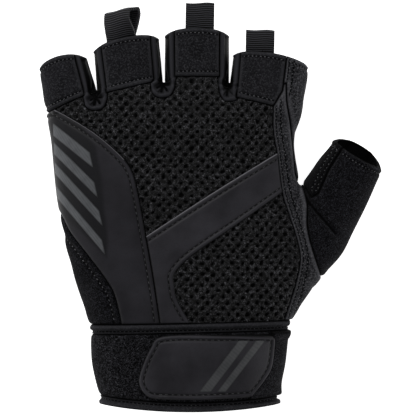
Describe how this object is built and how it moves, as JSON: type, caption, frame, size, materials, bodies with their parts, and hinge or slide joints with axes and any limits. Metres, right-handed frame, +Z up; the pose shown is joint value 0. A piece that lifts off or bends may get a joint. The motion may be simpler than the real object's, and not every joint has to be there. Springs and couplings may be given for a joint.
{
  "type": "half-finger sport glove",
  "caption": "Left-hand half-finger training glove with open finger and thumb stalls, mesh back, wrist closure and webbing pull loops.",
  "frame": {"origin": "a point on the palm's flat underside, where the glove rests", "axes": "+Z up through the back of the hand, +Y from the wrist to the fingers, +X towards the thumb"},
  "size_m": [0.1515, 0.1805, 0.0388],
  "materials": {
    "suede": "matt black synthetic suede with a short nap",
    "smooth_leather": "smooth black synthetic leather with a fine grain",
    "spacer_mesh": "black honeycomb spacer mesh",
    "stretch_cloth": "black glossy stretch fabric",
    "towelling": "black towelling and loop fabric",
    "webbing": "black ribbed webbing",
    "grey_print": "mid-grey printed or welded stripe"
  },
  "bodies": {
    "root": {"palm_panel": "suede", "finger_back_pinky": "suede", "finger_back_ring": "suede", "finger_back_middle": "suede", "finger_back_index": "suede", "gusset_pinky_ring": "stretch_cloth", "gusset_ring_middle": "stretch_cloth", "gusset_middle_index": "stretch_cloth", "index_side": "suede", "index_strip": "suede", "side_panel": "smooth_leather", "side_stripe_1": "grey_print", "side_stripe_2": "grey_print", "side_stripe_3": "grey_print", "side_stripe_4": "grey_print", "heel_panel": "towelling", "mesh_back": "spacer_mesh", "cross_band": "smooth_leather", "thumb_gusset": "stretch_cloth", "thumb_panel": "towelling", "cuff_top_binding": "suede", "cuff_band": "towelling", "cuff_bottom_binding": "suede", "closure_tab": "smooth_leather", "closure_wrap": "towelling", "tab_stripe_1": "grey_print", "tab_stripe_2": "grey_print", "pull_tab_ring": "webbing", "pull_tab_middle": "webbing", "pull_tab_index": "webbing"}
  },
  "joints": []
}
